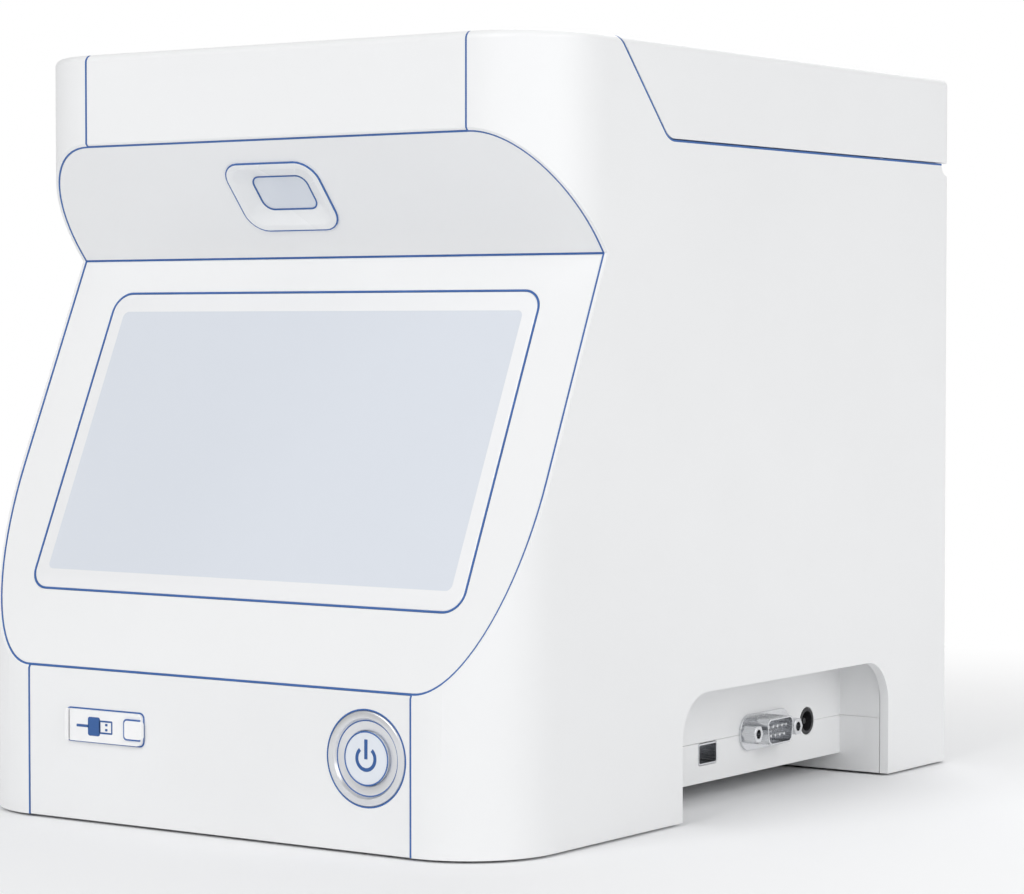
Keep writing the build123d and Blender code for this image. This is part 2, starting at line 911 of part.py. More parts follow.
# The base
def base_tray():
    """The pan under the machine, stepped in round the connector recess and skirted at the rear."""
    z = (floor_height, tray_height)
    tray = plan_prism(front, tray_inset, z) - pocket_space(0, ALL_Z)
    inner = plan_prism(front, tray_inset + tray_wall, (floor_top, height))
    tray -= inner - pocket_space(tray_wall, ALL_Z)
    tray -= block(ALL_X, (front, pocket_y[0] - tray_wall), (front_rim, height))
    plinth = plan_prism(front, tray_inset, (skirt_gap, floor_height))
    plinth &= block(ALL_X, (pocket_y[1], rear), ALL_Z)
    hollow = plan_prism(front, tray_inset + tray_wall, ALL_Z)
    tray += plinth - (hollow & block(ALL_X, (pocket_y[1] + tray_wall, rear), ALL_Z))
    for x, y in board_posts:
        tray += rod((x, y, floor_top), Z, board_gap, post_radius)
    for i in range(vent_count):
        slot_x = (i - (vent_count - 1) / 2) * 2 * vent_pitch
        tray -= block(around(slot_x, vent_width), around(front + front_foot_depth, inlet_length), ALL_Z)
    return tray - recess_cuts(connector_clearance)


front_rim = button_height - nut_radius - seam
board_x = (-chassis_x + chassis_wall + board_border, chassis_x - chassis_wall - tray_gap)
board_y = (chassis_y[0], front + power_jack_depth + 2 * power_jack_radius + board_border)
board_posts = [
    (x, y)
    for x in (board_x[0] + board_border, board_x[1] - board_border)
    for y in (board_y[0] + board_border, board_y[1] - board_border)
]


def rubber_feet():
    feet = []
    for side in (-1, 1):
        for y in (front + front_foot_depth, rear - rear_foot_inset):
            foot = rod((side * (width / 2 - foot_inset), y, 0), Z, floor_height, foot_radius)
            feet.append(chamfer(foot.edges().group_by(Axis.Z)[0], foot_chamfer))
    return Compound(children=feet)


def recess_pocket():
    """The upper walls and roof of the connector recess, standing on the tray."""
    top = recess_height + pocket_headroom + pocket_wall
    box = pocket_space(pocket_wall, (tray_height, top))
    box &= block((left, right - tray_inset), ALL_Y, ALL_Z)
    box -= pocket_space(0, (tray_height - beyond, top - pocket_wall))
    return box - recess_cuts(connector_clearance)


# Connectors in the recess
side_port_y = front + side_port_depth
serial_y = front + serial_depth
jack_y = front + power_jack_depth
inward = (-1, 0, 0)
solder_x = (recess_x - connector_length, recess_x - 2 * pocket_wall - chassis_wall)


def recess_plane(y, z):
    """A plane on the recess wall that faces out of it."""
    return Plane((recess_x, y, z), x_dir=Y, z_dir=X)


def serial_outline(grow):
    """The tapered outline of the serial connector's shell."""
    w, h = serial_width / 2 + grow, serial_rise / 2 + grow
    foot = w - serial_lean
    face = make_face(Polyline((-w, h), (w, h), (foot, -h), (-foot, -h), close=True))
    return fillet(face.vertices(), serial_corner)


def recess_cuts(margin):
    """The holes for the three connectors in the recess wall."""
    grow = 2 * margin
    depths = (-beyond, connector_length)
    port = slab(
        recess_plane(side_port_y, side_port_height),
        side_port_width + grow,
        side_port_rise + grow,
        side_port_corner + margin,
        depths,
    )
    serial = slab(
        recess_plane(serial_y, serial_height),
        serial_width + grow,
        serial_rise + grow,
        serial_body_corner + margin,
        depths,
    )
    mouth = (recess_x + beyond, jack_y, power_jack_height)
    jack = rod(mouth, inward, beyond + connector_length, power_jack_radius + margin)
    return port + serial + jack


def side_port():
    """A square data port, hollow to a tongue block at its back."""
    plane = recess_plane(side_port_y, side_port_height)
    w, h = side_port_width, side_port_rise
    shell = slab(plane, w, h, side_port_corner, (0, connector_length))
    thin = 2 * port_wall
    inner = slab(plane, w - thin, h - thin, side_port_corner - port_wall, (-beyond, side_port_socket))
    foot_z = (board_z + board_wall, side_port_height - side_port_rise / 2 + port_wall)
    return (shell - inner) + block(solder_x, around(side_port_y, side_port_width), foot_z)


def serial_port():
    """A nine-way serial connector with its flange, shell and pins."""
    plane = recess_plane(serial_y, serial_height)
    body = slab(plane, serial_width, serial_rise, serial_body_corner, (0, connector_length))
    flange = (plane, serial_flange_width, serial_flange_height, serial_flange_radius)
    body += slab(*flange, (-serial_flange_wall, 0))
    body += extrude(plane.offset(serial_flange_wall) * serial_outline(0), amount=serial_proud)
    body -= extrude(plane.offset(serial_flange_wall) * serial_outline(-port_wall), amount=serial_proud)
    for row, count in ((1, 5), (-1, 4)):
        for i in range(count):
            along = (i - (count - 1) / 2) * pin_pitch
            pin = plane * Pos(along, row * pin_row_pitch / 2, 0) * Circle(pin_radius)
            body += extrude(pin, amount=pin_length)
    foot_z = (board_z + board_wall, serial_height - serial_rise / 2 + port_wall)
    return body + block(solder_x, around(serial_y, serial_width), foot_z)


def jackscrews():
    """The two hexagonal posts beside the serial connector."""
    posts = []
    for side in (-1, 1):
        plane = recess_plane(serial_y + side * jackscrew_pitch / 2, serial_height).offset(serial_flange_wall)
        hexagon = plane * RegularPolygon(jackscrew_flats / 2, 6, major_radius=False)
        bore = extrude(plane.offset(jackscrew_floor) * Circle(jackscrew_bore), amount=jackscrew_length)
        posts.append(extrude(hexagon, amount=jackscrew_length) - bore)
    return Compound(children=posts)


def power_jack():
    """The round low-voltage power inlet with its centre pin."""
    mouth = (recess_x, jack_y, power_jack_height)
    body = rod(mouth, inward, connector_length, power_jack_radius)
    body -= rod(mouth, inward, power_jack_socket, power_jack_bore)
    tip = (recess_x - power_pin_sink, jack_y, power_jack_height)
    body += rod(tip, inward, connector_length - power_pin_sink, power_pin_radius)
    foot_z = (board_z + board_wall, power_jack_height - power_jack_bore)
    foot = block(solder_x, around(jack_y, 2 * power_jack_radius), foot_z)
    return body + (foot - rod(mouth, inward, connector_length, power_jack_bore))


def main_board():
    """The main circuit board with its larger components."""
    board = block(board_x, board_y, (board_z, board_z + board_wall))
    top = board_z + board_wall
    for x, y, size, rise in board_components:
        board += block(around(x, size), around(y, size), (top, top + rise))
    return board


# Front data port
def data_port():
    """The front data port's metal shell with its tongue."""
    y = (front + port_sink, front + port_sink + port_length)
    shell = block(around(port_x, port_width), y, around(port_z, port_height))
    thin = 2 * port_wall
    inner_y = (y[0], y[1] - port_back)
    shell -= block(around(port_x, port_width - thin), inner_y, around(port_z, port_height - thin))
    tongue_z = (port_z + tongue_rise, port_z + tongue_rise + tongue_wall)
    return shell + block(around(port_x, tongue_width), (y[0] + port_wall, y[1]), tongue_z)


def port_board():
    """The small board that the front data port is soldered to."""
    x = around(port_x, port_width + 4 * post_radius)
    z = (port_z - port_height / 2 - board_wall, port_z - port_height / 2)
    return block(x, (front + wall, front + wall + port_length), z)


cover_axis_x = cover_left + anchor_width + cover_gap + cover_proud / 2
cover_z = (cover_base, cover_base + cover_height)


def port_cover():
    """The rubber flap over the data port, with a plug inside and a finger tab at its free end."""
    x = (cover_axis_x, cover_left + cover_width)
    axis = (cover_axis_x, front - cover_proud / 2, cover_base)
    flap = block(x, (front - cover_proud, front), cover_z)
    flap = fillet(flap.edges().filter_by(Axis.Y).group_by(Axis.X)[-1], cover_radius)
    flap += rod(axis, Z, cover_height, cover_proud / 2)
    flap += port_opening(-plug_inset, (front, front + plug_depth))
    tab_end = x[1] + tab_overhang
    tab_y = (front - tab_proud, front - cover_proud / 2)
    tab = block((tab_end - tab_width, tab_end), tab_y, around(sum(cover_z) / 2, tab_height))
    return flap + fillet(tab.edges().filter_by(Axis.Y), tab_radius)


def cover_anchor():
    """The fixed end of the rubber cover."""
    strip = block((cover_left, cover_left + anchor_width), (front - cover_proud, front), cover_z)
    return fillet(strip.edges().filter_by(Axis.Y).group_by(Axis.X)[0], anchor_width / 2)


# Power button
def button_bar(y, radius):
    """A round bar on the button's axis, between two depths behind the front."""
    return rod((button_x, front + y[0], button_height), Y, y[1] - y[0], radius)


def button_bezel():
    """The button's ring, dished round the cap, and the barrel that holds it."""
    face = -button_ring_proud
    ring = button_bar((face, face + button_ring_wall), button_ring_radius)
    ring = chamfer(ring.edges().group_by(Axis.Y)[0], button_ring_proud)
    ring += button_bar((face, button_barrel), button_barrel_radius)
    ring -= button_bar((face, face + button_dish), button_dish_radius)
    return ring - button_bar((face, button_barrel), button_radius + button_gap)


def button_cap():
    """The sprung cap and its stem."""
    cap = button_bar((0, button_cap_wall), button_radius)
    cap = fillet(cap.edges().group_by(Axis.Y)[0], button_edge_radius)
    return cap + button_bar((0, button_barrel + button_travel), button_stem_radius)


def button_spring():
    """A tube of the spring's outer size and pressed length, behind the cap."""
    y = (button_cap_wall, button_barrel - button_travel - button_gap)
    return button_bar(y, button_spring_radius) - button_bar(y, button_spring_radius - button_spring_wall)


def button_switch():
    body = button_bar((button_barrel, button_barrel + switch_length), button_barrel_radius)
    depth_in = (button_barrel, button_barrel + 3 * button_travel)
    return body - button_bar(depth_in, button_stem_radius + 2 * running_gap)


def button_nut():
    """The hexagonal nut behind the front panel."""
    plane = Plane((button_x, front + wall, button_height), x_dir=X, z_dir=Y)
    nut = extrude(plane * RegularPolygon(nut_radius, 6, rotation=30), amount=nut_wall)
    return nut - button_bar((0, beyond), button_barrel_radius)


# Screen
def touch_glass():
    return slab(screen_plane, glass_width, glass_height, glass_radius, (0, glass_wall))


def glass_seal():
    """The soft surround of the glass, with a lip behind its edge."""
    w, h = glass_width + 2 * seam, glass_height + 2 * seam
    ring = slab(screen_plane, w, h, glass_radius + seam, (0, fascia_wall)) - touch_glass()
    w, h = glass_width - 2 * seal_lip, glass_height - 2 * seal_lip
    return ring - slab(screen_plane, w, h, glass_radius - seal_lip, (0, beyond))


def lcd_panel():
    w, h = screen_width + 2 * lcd_border, screen_height + 2 * lcd_border
    return slab(screen_plane, w, h, lcd_radius, (glass_wall, glass_wall + lcd_wall))


def screen_bracket():
    """The steel frame that clamps the display behind the fascia."""
    w, h = glass_width + 2 * bracket_border, glass_height + 2 * bracket_border
    depths = (fascia_wall, fascia_wall + bracket_wall)
    frame = slab(screen_plane, w, h, glass_radius, depths)
    inner_w, inner_h = screen_width + 2 * lcd_border, screen_height + 2 * lcd_border
    return frame - slab(screen_plane, inner_w, inner_h, lcd_radius, (0, beyond))


# Code scanner
scanner_depth = window_sink + window_wall


def scanner_bezel():
    """The scanner's surround, which funnels in to its window."""
    bezel = slab(brow_plane, scanner_width, scanner_height, scanner_radius, (-scanner_proud, scanner_depth))
    rim = 2 * scanner_rim
    mouth = brow_plane.offset(scanner_proud) * RectangleRounded(
        scanner_width - rim, scanner_height - rim, scanner_radius - scanner_rim)
    floor = brow_plane.offset(-window_sink) * RectangleRounded(window_width, window_height, window_radius)
    bezel -= loft([floor, mouth])
    return bezel - window_plate()


def window_plate():
    ledge = 2 * window_ledge
    return slab(brow_plane, window_width + ledge, window_height + ledge, window_radius + window_ledge,
                (window_sink, scanner_depth))


def scanner_engine():
    """The scanner's camera and lamp unit, behind the window."""
    size = 4 * window_ledge
    return slab(brow_plane, window_width + size, window_height + size, window_radius,
                (scanner_depth, scanner_depth + engine_depth))


def rear_screws():
    screws = []
    for side in (-1, 1):
        for z in rear_screw_z:
            start = (side * rear_screw_x, rear - head_sink, z)
            screws.append(screw(start, (0, -1, 0), screw_length - head_sink))
    return Compound(children=screws)


parts = {
    "left_side_shell": left_side_shell(),
    "right_side_shell": right_side_shell(),
    "forehead_panel": forehead_panel(),
    "brow_panel": brow_panel(),
    "screen_fascia": screen_fascia(),
    "lower_front_panel": lower_front_panel(),
    "rear_panel": rear_panel(),
    "fascia_seal": fascia_seal(),
    "panel_seals": panel_seals(),
    "lid_seal": lid_seal(),
    "glass_seal": glass_seal(),
    "lid_shell": lid_shell(),
    "lid_liner": lid_liner(),
    "liner_screws": liner_screws(),
    "press_plate": press_plate(),
    "guide_pins": guide_pins(),
    "plate_springs": plate_springs(),
    "catch_pins": catch_pins(),
    "catch_magnets": catch_magnets(),
    "hinge_leaf_body": hinge_leaf(True),
    "hinge_leaf_lid": hinge_leaf(False),
    "hinge_pin": hinge_pin(),
    "top_deck": top_deck(),
    "deck_screws": deck_screws(),
    "well_block": well_block(),
    "block_collar": block_collar(),
    "peltier": peltier(),
    "heat_sink": heat_sink(),
    "air_duct": air_duct(),
    "fan_housing": fan_housing(),
    "fan_rotor": fan_rotor(),
    "optics_module": optics_module(),
    "optics_lenses": optics_lenses(),
    "left_chassis_plate": chassis_plate(-1),
    "right_chassis_plate": chassis_plate(1),
    "base_tray": base_tray(),
    "rubber_feet": rubber_feet(),
    "main_board": main_board(),
    "recess_pocket": recess_pocket(),
    "side_port": side_port(),
    "serial_port": serial_port(),
    "jackscrews": jackscrews(),
    "power_jack": power_jack(),
    "data_port": data_port(),
    "port_board": port_board(),
    "port_cover": port_cover(),
    "cover_anchor": cover_anchor(),
    "button_bezel": button_bezel(),
    "button_cap": button_cap(),
    "button_spring": button_spring(),
    "button_switch": button_switch(),
    "button_nut": button_nut(),
    "touch_glass": touch_glass(),
    "lcd_panel": lcd_panel(),
    "screen_bracket": screen_bracket(),
    "scanner_bezel": scanner_bezel(),
    "scanner_window": window_plate(),
    "scanner_engine": scanner_engine(),
    "rear_screws": rear_screws(),
}

for name, part in parts.items():
    save(name, part)
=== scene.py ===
import bpy
import json
from math import atan2, cos, hypot, pi, radians, sin

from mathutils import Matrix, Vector


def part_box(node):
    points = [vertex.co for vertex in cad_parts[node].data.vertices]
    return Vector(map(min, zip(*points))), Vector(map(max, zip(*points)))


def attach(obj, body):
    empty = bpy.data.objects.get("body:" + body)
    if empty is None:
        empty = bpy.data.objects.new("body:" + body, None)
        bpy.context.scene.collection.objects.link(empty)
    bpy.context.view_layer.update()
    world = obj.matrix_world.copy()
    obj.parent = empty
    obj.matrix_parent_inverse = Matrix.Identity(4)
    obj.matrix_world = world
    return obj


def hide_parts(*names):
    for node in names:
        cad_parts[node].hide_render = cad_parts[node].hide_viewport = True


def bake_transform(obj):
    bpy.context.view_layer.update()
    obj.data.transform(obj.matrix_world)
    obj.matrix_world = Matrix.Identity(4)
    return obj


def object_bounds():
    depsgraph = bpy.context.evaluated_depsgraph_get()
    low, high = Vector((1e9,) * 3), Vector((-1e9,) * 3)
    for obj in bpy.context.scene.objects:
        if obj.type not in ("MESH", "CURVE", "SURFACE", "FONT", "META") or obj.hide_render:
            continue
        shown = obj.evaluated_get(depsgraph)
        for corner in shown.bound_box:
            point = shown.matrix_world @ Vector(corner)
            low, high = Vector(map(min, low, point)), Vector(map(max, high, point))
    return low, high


# A bench-top real-time PCR machine, dressed in its plastics, seals, glass and metals.
# Metres. X runs to the right as seen from the front, Y to the rear, Z up.

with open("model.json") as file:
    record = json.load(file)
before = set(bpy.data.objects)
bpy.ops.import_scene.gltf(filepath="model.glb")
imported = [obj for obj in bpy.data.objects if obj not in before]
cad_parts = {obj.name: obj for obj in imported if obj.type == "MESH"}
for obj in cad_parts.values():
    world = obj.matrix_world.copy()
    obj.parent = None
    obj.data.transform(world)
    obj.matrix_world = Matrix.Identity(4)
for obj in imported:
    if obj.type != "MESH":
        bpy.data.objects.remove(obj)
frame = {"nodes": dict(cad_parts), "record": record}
cad_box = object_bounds()
nodes = frame["nodes"]
mm = 0.001

# The front of the housing, seen from the side
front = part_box("lower_front_panel")[0].y
knee_height = 45.0 * mm
crease_depth = 56.0 * mm
crease_height = 168.7 * mm
setback = 26.5 * mm
brow_height = 203.8 * mm

# The display on the slope
slope_lean = atan2(crease_depth, crease_height - knee_height)
slope_length = hypot(crease_depth, crease_height - knee_height)
glass_width = 161.4 * mm
glass_low_border = 26.0 * mm
glass_high_border = 11.8 * mm
glass_height = slope_length - glass_low_border - glass_high_border
screen_rise = glass_low_border + glass_height / 2
screen_centre = Vector((
    0,
    front + screen_rise * sin(slope_lean),
    knee_height + screen_rise * cos(slope_lean),
))
screen_turn = (pi / 2 - slope_lean, 0, 0)
glass_wall = 1.8 * mm
glass_corner = 6.0 * mm
glass_edge_round = 0.35 * mm
display_width = 152.0 * mm
display_height = 86.0 * mm
display_corner = 2.0 * mm
print_softness = 0.08 * mm

# The scanner on the brow
brow_lean = atan2(crease_depth - setback, brow_height - crease_height)
scanner_drop = 22.4 * mm
scanner_centre = Vector((
    -6.4 * mm,
    front + setback + scanner_drop * sin(brow_lean),
    brow_height - scanner_drop * cos(brow_lean),
))
scanner_turn = (pi / 2 + brow_lean, 0, 0)
scanner_width = 34.4 * mm
scanner_height = 24.8 * mm
scanner_corner = 6.5 * mm
window_width = 20.5 * mm
window_height = 12.4 * mm
window_corner = 3.5 * mm
window_sink = 2.0 * mm

# The power button
button_centre = Vector((56.3 * mm, front, 27.3 * mm))
button_face = front - 0.4 * mm
ring_radius = 13.5 * mm
dish_radius = 11.15 * mm
dish_depth = 1.0 * mm
dish_lip = 0.25 * mm
ring_neck_radius = 10.8 * mm
ring_neck_depth = 8 * mm
ring_flange_wall = 1.6 * mm
cap_radius = 7.65 * mm
cap_gap = 0.2 * mm
cap_dome = 0.12 * mm
cap_depth = 6 * mm
stem_radius = 3.0 * mm
stem_foot = 13.5 * mm

# The data port's cover and its finger tab
cover_proud = 1.5 * mm
tab_width = 6.6 * mm
tab_height = 5.4 * mm
tab_overhang = 0.8 * mm
port_line_corner = 1.8 * mm
tab_line_corner = 1.2 * mm

# Pan-head screws
screw_head_radius = 2.9 * mm
screw_head_height = 1.6 * mm
screw_shank_radius = 1.25 * mm
screw_length = 6.2 * mm

# A turned piece starts and ends this far from its axis, and the pinhole is closed
pinhole = 0.01 * mm

# Thin lines of blue seal round what is set in the covers
line_width = 0.45 * mm
line_rise = 0.12 * mm
proud_line_rise = 0.4 * mm


# Small jobs that the pieces share
def only(piece):
    """Selects one object and nothing else."""
    bpy.ops.object.select_all(action="DESELECT")
    piece.select_set(True)
    bpy.context.view_layer.objects.active = piece


def edit(piece):
    """Opens a piece in edit mode with nothing selected."""
    only(piece)
    bpy.ops.object.mode_set(mode="EDIT")
    bpy.ops.mesh.select_all(action="DESELECT")


def close_edit():
    bpy.ops.object.mode_set(mode="OBJECT")


def pick_faces(piece, test):
    """Selects the faces whose centre and normal pass a test."""
    bpy.context.tool_settings.mesh_select_mode = (False, False, True)
    edit(piece)
    close_edit()
    for face in piece.data.polygons:
        face.select = test(face.center, face.normal)
    bpy.ops.object.mode_set(mode="EDIT")


def pick_edges(piece, test):
    """Selects the edges whose two ends pass a test."""
    bpy.context.tool_settings.mesh_select_mode = (False, True, False)
    edit(piece)
    close_edit()
    points = piece.data.vertices
    for edge in piece.data.edges:
        edge.select = test(points[edge.vertices[0]].co, points[edge.vertices[1]].co)
    bpy.ops.object.mode_set(mode="EDIT")


def smooth(piece, angle=30):
    only(piece)
    bpy.ops.object.shade_smooth_by_angle(angle=radians(angle))


def round_edges(piece, width, segments=2, angle=30):
    """Rounds the sharp edges of a piece, then shades it."""
    only(piece)
    bevel = piece.modifiers.new("round", "BEVEL")
    bevel.width = width
    bevel.segments = segments
    bevel.limit_method = "ANGLE"
    bevel.angle_limit = radians(angle)
    bevel.harden_normals = False
    bpy.ops.object.modifier_apply(modifier="round")
    smooth(piece, angle)
    weigh = piece.modifiers.new("weigh", "WEIGHTED_NORMAL")
    weigh.keep_sharp = True
    bpy.ops.object.modifier_apply(modifier="weigh")


def outward(piece):
    """Merges doubled points and turns every face outwards."""
    edit(piece)
    bpy.ops.mesh.select_all(action="SELECT")
    bpy.ops.mesh.remove_doubles(threshold=1e-6)
    bpy.ops.mesh.normals_make_consistent(inside=False)
    close_edit()


def close_holes(piece):
    """Closes the small open ends that a turned or cut piece is left with."""
    edit(piece)
    bpy.ops.mesh.select_all(action="SELECT")
    bpy.ops.mesh.fill_holes(sides=0)
    close_edit()


def join(pieces):
    """Joins several objects into the first."""
    bpy.ops.object.select_all(action="DESELECT")
    for piece in pieces:
        piece.select_set(True)
    bpy.context.view_layer.objects.active = pieces[0]
    bpy.ops.object.join()
    return pieces[0]


def settle(piece, name, material, body, replaced=()):
    """Puts a piece's place in its mesh, names it, dresses it and lets it ride on its body."""
    only(piece)
    bpy.ops.object.transform_apply(location=True, rotation=True, scale=True)
    piece.name = name
    piece.data.name = name
    piece.data.materials.clear()
    piece.data.materials.append(material)
    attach(piece, body)
    if replaced:
        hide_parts(*replaced)
    return piece


def place(piece, location, rotation):
    piece.location = location
    piece.rotation_euler = rotation
    only(piece)
    bpy.ops.object.transform_apply(location=True, rotation=True, scale=True)
    return piece


def slab(width, height, corner, low, high, segments=6):
    """A flat plate with rounded corners, from one height to another over its own middle."""
    bpy.ops.mesh.primitive_cube_add(size=1, location=(0, 0, (low + high) / 2))
    piece = bpy.context.object
    piece.scale = (width, height, high - low)
    bpy.ops.object.transform_apply(location=True, rotation=True, scale=True)
    pick_edges(piece, lambda a, b: abs(a.z - b.z) > (high - low) / 2)
    bpy.ops.mesh.bevel(offset=corner, segments=segments, affect="EDGES")
    close_edit()
    return piece


def frame_line(width, height, corner, thick, low, high):
    """A thin closed line with rounded corners, made from a plate by an inset."""
    piece = slab(width, height, corner, low, high)
    pick_faces(piece, lambda centre, normal: abs(normal.z) > 0.9)
    bpy.ops.mesh.inset(thickness=thick, depth=0)
    bpy.ops.mesh.bridge_edge_loops()
    close_edit()
    outward(piece)
    return piece


def turned(profile, vertices=96):
    """A turned piece on its own upright axis, extruded ring by ring through (radius, height) pairs."""
    radius, height = profile[0]
    bpy.ops.mesh.primitive_circle_add(vertices=vertices, radius=radius, location=(0, 0, 0))
    piece = bpy.context.object
    bpy.ops.object.mode_set(mode="EDIT")
    bpy.ops.mesh.select_all(action="SELECT")
    bpy.ops.transform.translate(value=(0, 0, height))
    for next_radius, next_height in profile[1:]:
        bpy.ops.mesh.extrude_edges_move()
        share = next_radius / radius
        bpy.ops.transform.resize(value=(share, share, 1), center_override=(0, 0, height))
        bpy.ops.transform.translate(value=(0, 0, next_height - height))
        radius, height = next_radius, next_height
    close_edit()
    outward(piece)
    close_holes(piece)
    return piece


# Materials
def shader(name):
    """A new material with its node tree, its shader and its Object coordinates."""
    material = bpy.data.materials.new(name)
    material.use_nodes = True
    tree = material.node_tree
    main = tree.nodes["Principled BSDF"]
    coordinates = tree.nodes.new("ShaderNodeTexCoord")
    return material, tree, main, coordinates.outputs["Object"]


def noise(tree, vector, scale, detail=3.0, stretch=None):
    """Noise at a number of features to the metre, stretched along an axis if asked."""
    if stretch:
        mapping = tree.nodes.new("ShaderNodeMapping")
        mapping.inputs["Scale"].default_value = stretch
        tree.links.new(vector, mapping.inputs["Vector"])
        vector = mapping.outputs["Vector"]
    texture = tree.nodes.new("ShaderNodeTexNoise")
    texture.inputs["Scale"].default_value = scale
    texture.inputs["Detail"].default_value = detail
    tree.links.new(vector, texture.inputs["Vector"])
    return texture.outputs["Fac"]


def ranged(tree, value, low, high, source=(0.3, 0.7)):
    """A value carried from one range to another."""
    mapped = tree.nodes.new("ShaderNodeMapRange")
    mapped.inputs["From Min"].default_value = source[0]
    mapped.inputs["From Max"].default_value = source[1]
    mapped.inputs["To Min"].default_value = low
    mapped.inputs["To Max"].default_value = high
    tree.links.new(value, mapped.inputs["Value"])
    return mapped.outputs["Result"]


def blended(tree, factor, first, second):
    """A colour between two colours."""
    mix = tree.nodes.new("ShaderNodeMix")
    mix.data_type = "RGBA"
    mix.inputs["A"].default_value = (*first, 1)
    mix.inputs["B"].default_value = (*second, 1)
    tree.links.new(factor, mix.inputs["Factor"])
    return mix.outputs["Result"]


def bumped(tree, height, distance, strength=1.0):
    bump = tree.nodes.new("ShaderNodeBump")
    bump.inputs["Distance"].default_value = distance
    bump.inputs["Strength"].default_value = strength
    tree.links.new(height, bump.inputs["Height"])
    return bump.outputs["Normal"]


def moulded(name, colour, roughness=0.42, grain=2600, depth=0.02 * mm):
    """Moulded plastic: a fine spark-eroded texture, slow changes of gloss and a breath of colour change."""
    material, tree, main, vector = shader(name)
    slow = noise(tree, vector, 14, 2)
    fine = noise(tree, vector, grain, 2)
    darker = tuple(c * 0.975 for c in colour)
    tree.links.new(blended(tree, ranged(tree, slow, 0, 1), colour, darker), main.inputs["Base Color"])
    tree.links.new(ranged(tree, slow, roughness - 0.05, roughness + 0.05), main.inputs["Roughness"])
    tree.links.new(bumped(tree, fine, depth, 0.5), main.inputs["Normal"])
    main.inputs["IOR"].default_value = 1.48
    return material


def rubber(name, colour, roughness=0.6):
    """Soft rubber with a dusty bloom."""
    material, tree, main, vector = shader(name)
    bloom = noise(tree, vector, 90, 4)
    paler = tuple(min(1, c * 1.15 + 0.01) for c in colour)
    tree.links.new(blended(tree, ranged(tree, bloom, 0, 1), colour, paler), main.inputs["Base Color"])
    tree.links.new(ranged(tree, bloom, roughness - 0.07, roughness + 0.07), main.inputs["Roughness"])
    tree.links.new(bumped(tree, noise(tree, vector, 1800, 2), 0.015 * mm, 0.5), main.inputs["Normal"])
    return material


def metal(name, colour, roughness=0.3, stretch=(1, 40, 40), depth=0.01 * mm):
    """Bare metal with lines of brushing or turning, and faint stains."""
    material, tree, main, vector = shader(name)
    lines = noise(tree, vector, 60, 5, stretch)
    stains = noise(tree, vector, 45, 3)
    darker = tuple(c * 0.88 for c in colour)
    tree.links.new(blended(tree, ranged(tree, stains, 0, 1), colour, darker), main.inputs["Base Color"])
    tree.links.new(ranged(tree, lines, roughness - 0.08, roughness + 0.1), main.inputs["Roughness"])
    tree.links.new(bumped(tree, lines, depth, 0.4), main.inputs["Normal"])
    main.inputs["Metallic"].default_value = 1
    return material


def circuit(name, colour):
    """Solder mask over a glass laminate, with paler tracks under it."""
    material, tree, main, vector = shader(name)
    bricks = tree.nodes.new("ShaderNodeTexBrick")
    bricks.inputs["Scale"].default_value = 120
    bricks.inputs["Mortar Size"].default_value = 0.03
    bricks.inputs["Color1"].default_value = (*colour, 1)
    bricks.inputs["Color2"].default_value = (*(c * 0.85 for c in colour), 1)
    bricks.inputs["Mortar"].default_value = (*(c * 1.6 for c in colour), 1)
    tree.links.new(vector, bricks.inputs["Vector"])
    tree.links.new(bricks.outputs["Color"], main.inputs["Base Color"])
    tree.links.new(ranged(tree, noise(tree, vector, 60), 0.25, 0.4), main.inputs["Roughness"])
    return material


def rounded_mask(tree, vector, centre, turn, width, height, corner, softness):
    """One inside a rounded rectangle on a plane, nought outside it."""
    mapping = tree.nodes.new("ShaderNodeMapping")
    mapping.vector_type = "TEXTURE"
    mapping.inputs["Location"].default_value = centre
    mapping.inputs["Rotation"].default_value = turn
    tree.links.new(vector, mapping.inputs["Vector"])

    def vector_math(operation, first, second=None):
        node = tree.nodes.new("ShaderNodeVectorMath")
        node.operation = operation
        tree.links.new(first, node.inputs[0])
        if second:
            node.inputs[1].default_value = second
        return node.outputs["Value" if operation == "LENGTH" else "Vector"]

    half = (width / 2 - corner, height / 2 - corner, 0)
    flat = vector_math("MULTIPLY", mapping.outputs["Vector"], (1, 1, 1e-6))
    past = vector_math("SUBTRACT", vector_math("ABSOLUTE", flat), half)
    away = vector_math("LENGTH", vector_math("MAXIMUM", past, (0, 0, 0)))
    return ranged(tree, away, 1, 0, (corner - softness, corner + softness))


def display_glass():
    """Polished glass, printed white behind, round a pale backlit display."""
    material, tree, main, vector = shader("display_glass")
    mask = rounded_mask(
        tree, vector, screen_centre, screen_turn,
        display_width, display_height, display_corner, print_softness,
    )
    glow = noise(tree, vector, 9, 1)
    white, pale, paler = (0.90, 0.905, 0.915), (0.48, 0.505, 0.55), (0.50, 0.525, 0.57)
    page = tree.nodes.new("ShaderNodeMix")
    page.data_type = "RGBA"
    page.inputs["A"].default_value = (*white, 1)
    tree.links.new(mask, page.inputs["Factor"])
    tree.links.new(blended(tree, ranged(tree, glow, 0, 1), pale, paler), page.inputs["B"])
    tree.links.new(page.outputs["Result"], main.inputs["Base Color"])
    tree.links.new(blended(tree, mask, (0, 0, 0), (0.23, 0.243, 0.262)), main.inputs["Emission Color"])
    main.inputs["Emission Strength"].default_value = 1
    smudges = noise(tree, vector, 35, 5)
    tree.links.new(ranged(tree, smudges, 0.07, 0.16), main.inputs["Roughness"])
    main.inputs["Coat Weight"].default_value = 0.6
    main.inputs["Coat Roughness"].default_value = 0.04
    return material


